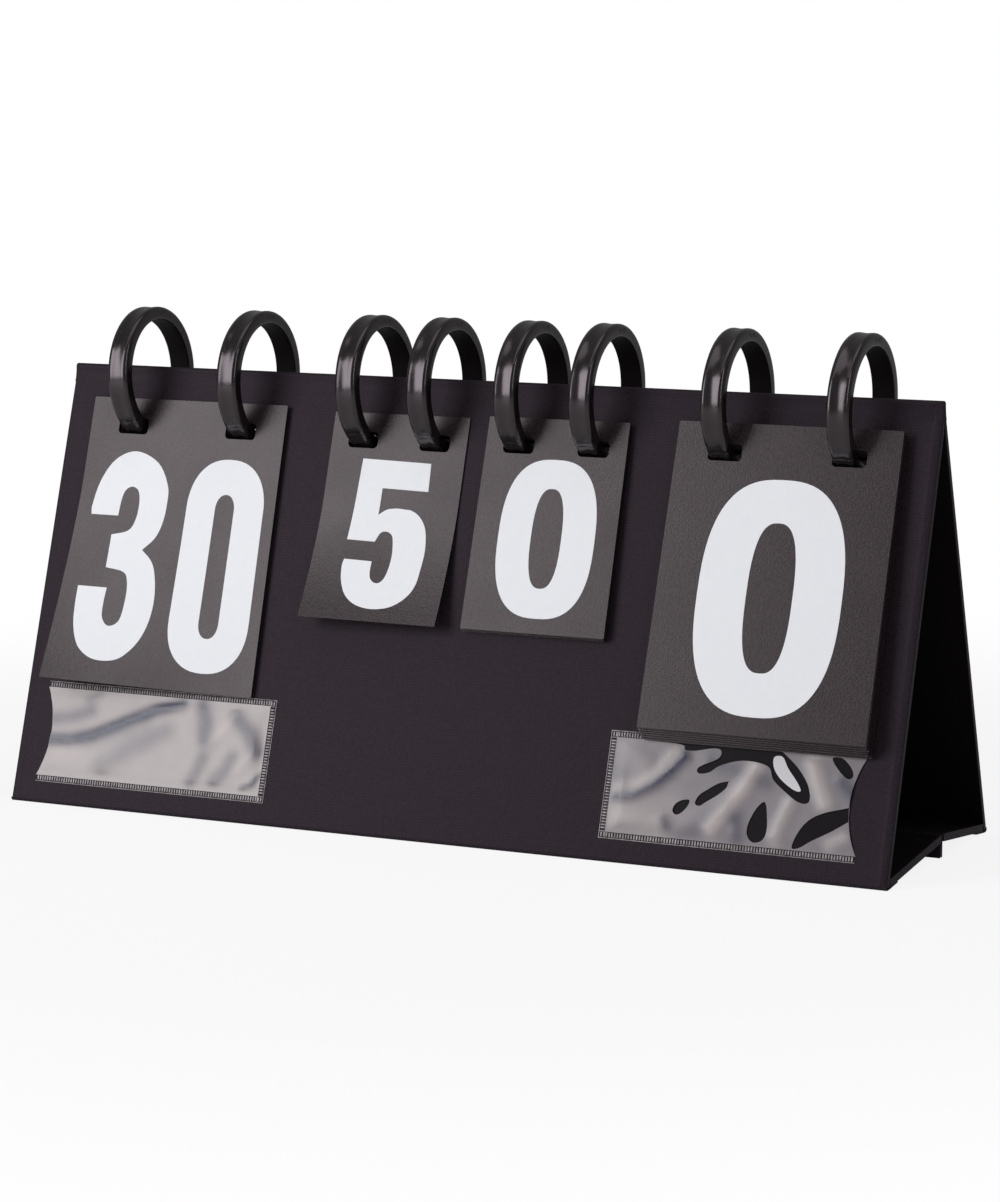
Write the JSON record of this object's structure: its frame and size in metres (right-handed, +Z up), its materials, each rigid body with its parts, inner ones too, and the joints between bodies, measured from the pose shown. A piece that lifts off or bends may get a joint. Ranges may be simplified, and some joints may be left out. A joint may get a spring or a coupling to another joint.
{
  "type": "tabletop flip scoreboard",
  "caption": "Folding cloth-covered A-frame scoreboard with score and set leaves that flip over plastic rings on its top edge.",
  "frame": {"origin": "middle of the footprint, on the surface that the scoreboard stands on", "axes": "+X along its length, to the right of the one who reads its front; +Y from the front to the back; +Z up"},
  "size_m": [0.385, 0.1164, 0.2017],
  "materials": {
    "cover_cloth": "fine woven dark purple-grey book cloth",
    "grey_board": "raw grey chipboard with a tan cut edge",
    "lining_cloth": "dark lining cloth",
    "hook_tape": "black hook and loop tape",
    "ring_plastic": "glossy black moulded plastic",
    "leaf_card": "dark grey fine-grained plastic sheet with pale printed numbers",
    "clear_film": "clear flexible plastic film",
    "film_binding": "grey welded edge of the film pocket"
  },
  "bodies": {
    "root": {"front_panel_cover": "cover_cloth", "front_panel_board": "grey_board", "front_panel_lining": "lining_cloth", "ridge_hinge_cloth": "cover_cloth", "front_heel_hinge_cloth": "cover_cloth", "left_window_film": "clear_film", "left_window_binding": "film_binding", "right_window_film": "clear_film", "right_window_binding": "film_binding", "right_score_bundle_1": "leaf_card", "right_score_bundle_2": "leaf_card", "right_score_bundle_3": "leaf_card", "right_score_bundle_4": "leaf_card", "right_score_bundle_5": "leaf_card", "right_score_bundle_6": "leaf_card", "right_set_leaf_1": "leaf_card", "right_set_leaf_2": "leaf_card", "right_set_leaf_3": "leaf_card", "right_set_leaf_4": "leaf_card", "right_set_leaf_5": "leaf_card"},
    "back_panel": {"back_panel_cover": "cover_cloth", "back_panel_board": "grey_board", "back_panel_lining": "lining_cloth", "rear_heel_hinge_cloth": "cover_cloth", "left_score_bundle_1": "leaf_card", "left_score_bundle_2": "leaf_card", "left_score_bundle_3": "leaf_card", "left_score_bundle_4": "leaf_card", "left_score_bundle_5": "leaf_card", "left_score_bundle_6": "leaf_card", "left_set_leaf_0": "leaf_card", "left_set_leaf_1": "leaf_card", "left_set_leaf_2": "leaf_card", "left_set_leaf_3": "leaf_card"},
    "front_base": {"front_base_cover": "cover_cloth", "front_base_board": "grey_board", "front_base_lining": "lining_cloth", "front_keel_flap": "cover_cloth", "hook_tape": "hook_tape"},
    "rear_base": {"rear_base_cover": "cover_cloth", "rear_base_board": "grey_board", "rear_base_lining": "lining_cloth", "rear_keel_flap": "cover_cloth", "loop_tape": "hook_tape"},
    "ring_1": {"ring_1": "ring_plastic"},
    "ring_2": {"ring_2": "ring_plastic"},
    "ring_3": {"ring_3": "ring_plastic"},
    "ring_4": {"ring_4": "ring_plastic"},
    "ring_5": {"ring_5": "ring_plastic"},
    "ring_6": {"ring_6": "ring_plastic"},
    "ring_7": {"ring_7": "ring_plastic"},
    "ring_8": {"ring_8": "ring_plastic"},
    "left_score_leaf_30": {"left_score_leaf_30": "leaf_card"},
    "left_score_leaf_29": {"left_score_leaf_29": "leaf_card"},
    "left_set_leaf_5": {"left_set_leaf_5": "leaf_card"},
    "left_set_leaf_4": {"left_set_leaf_4": "leaf_card"},
    "right_set_leaf_0": {"right_set_leaf_0": "leaf_card"},
    "right_score_leaf_0": {"right_score_leaf_0": "leaf_card"}
  },
  "joints": [
    {"name": "frame_fold", "type": "hinge", "parent": "root", "child": "back_panel", "pos_m": [0, 0, 0.1743], "axis": [-1, 0, 0], "range_deg": [0, 10], "deforming": ["ridge_hinge_cloth", "rear_heel_hinge_cloth"]},
    {"name": "front_base_fold", "type": "hinge", "parent": "root", "child": "front_base", "pos_m": [0, -0.05352, 0.0037], "axis": [1, 0, 0], "range_deg": [0, 56], "deforming": ["front_heel_hinge_cloth", "front_keel_flap", "hook_tape"]},
    {"name": "rear_base_fold", "type": "hinge", "parent": "back_panel", "child": "rear_base", "pos_m": [0, 0.05352, 0.0037], "axis": [-1, 0, 0], "range_deg": [0, 56], "deforming": ["rear_keel_flap", "loop_tape"]},
    {"name": "ring_1_turn", "type": "hinge", "parent": "root", "child": "ring_1", "pos_m": [-0.1589, 0.0045, 0.1737], "axis": [0.9995, 0, 0.0314], "continuous": true},
    {"name": "ring_2_turn", "type": "hinge", "parent": "root", "child": "ring_2", "pos_m": [-0.1074, 0.0045, 0.1737], "axis": [1, 0, -0.0052], "continuous": true},
    {"name": "ring_3_turn", "type": "hinge", "parent": "root", "child": "ring_3", "pos_m": [-0.0525, 0.0045, 0.1737], "axis": [0.9997, 0, 0.0244], "continuous": true},
    {"name": "ring_4_turn", "type": "hinge", "parent": "root", "child": "ring_4", "pos_m": [-0.0204, 0.0045, 0.1737], "axis": [1, 0, 0.0052], "continuous": true},
    {"name": "ring_5_turn", "type": "hinge", "parent": "root", "child": "ring_5", "pos_m": [0.0181, 0.0045, 0.1737], "axis": [1, 0, -0.0017], "continuous": true},
    {"name": "ring_6_turn", "type": "hinge", "parent": "root", "child": "ring_6", "pos_m": [0.0506, 0.0045, 0.1737], "axis": [0.9998, 0, -0.0209], "continuous": true},
    {"name": "ring_7_turn", "type": "hinge", "parent": "root", "child": "ring_7", "pos_m": [0.1063, 0.0045, 0.1737], "axis": [1, 0, -0.0035], "continuous": true},
    {"name": "ring_8_turn", "type": "hinge", "parent": "root", "child": "ring_8", "pos_m": [0.1576, 0.0045, 0.1737], "axis": [0.9998, 0, -0.0175], "continuous": true},
    {"name": "left_score_leaf_30_flip", "type": "hinge", "parent": "root", "child": "left_score_leaf_30", "pos_m": [-0.1336, 0.0045, 0.1737], "axis": [-1, 0, 0], "range_deg": [0, 284]},
    {"name": "left_score_leaf_29_flip", "type": "hinge", "parent": "back_panel", "child": "left_score_leaf_29", "pos_m": [-0.1336, 0.0045, 0.1737], "axis": [-1, 0, 0], "range_deg": [-284, 0]},
    {"name": "left_set_leaf_5_flip", "type": "hinge", "parent": "root", "child": "left_set_leaf_5", "pos_m": [-0.0353, 0.0045, 0.1737], "axis": [-1, 0, 0], "range_deg": [0, 301]},
    {"name": "left_set_leaf_4_flip", "type": "hinge", "parent": "back_panel", "child": "left_set_leaf_4", "pos_m": [-0.0353, 0.0045, 0.1737], "axis": [-1, 0, 0], "range_deg": [-301, 0]},
    {"name": "right_set_leaf_0_flip", "type": "hinge", "parent": "root", "child": "right_set_leaf_0", "pos_m": [0.0353, 0.0045, 0.1737], "axis": [-1, 0, 0], "range_deg": [0, 301]},
    {"name": "right_score_leaf_0_flip", "type": "hinge", "parent": "root", "child": "right_score_leaf_0", "pos_m": [0.1336, 0.0045, 0.1737], "axis": [-1, 0, 0], "range_deg": [0, 292]}
  ],
  "couplings": [
    {"joint": "front_base_fold", "follows": "frame_fold", "ratio": 5.6},
    {"joint": "rear_base_fold", "follows": "frame_fold", "ratio": 5.6}
  ]
}
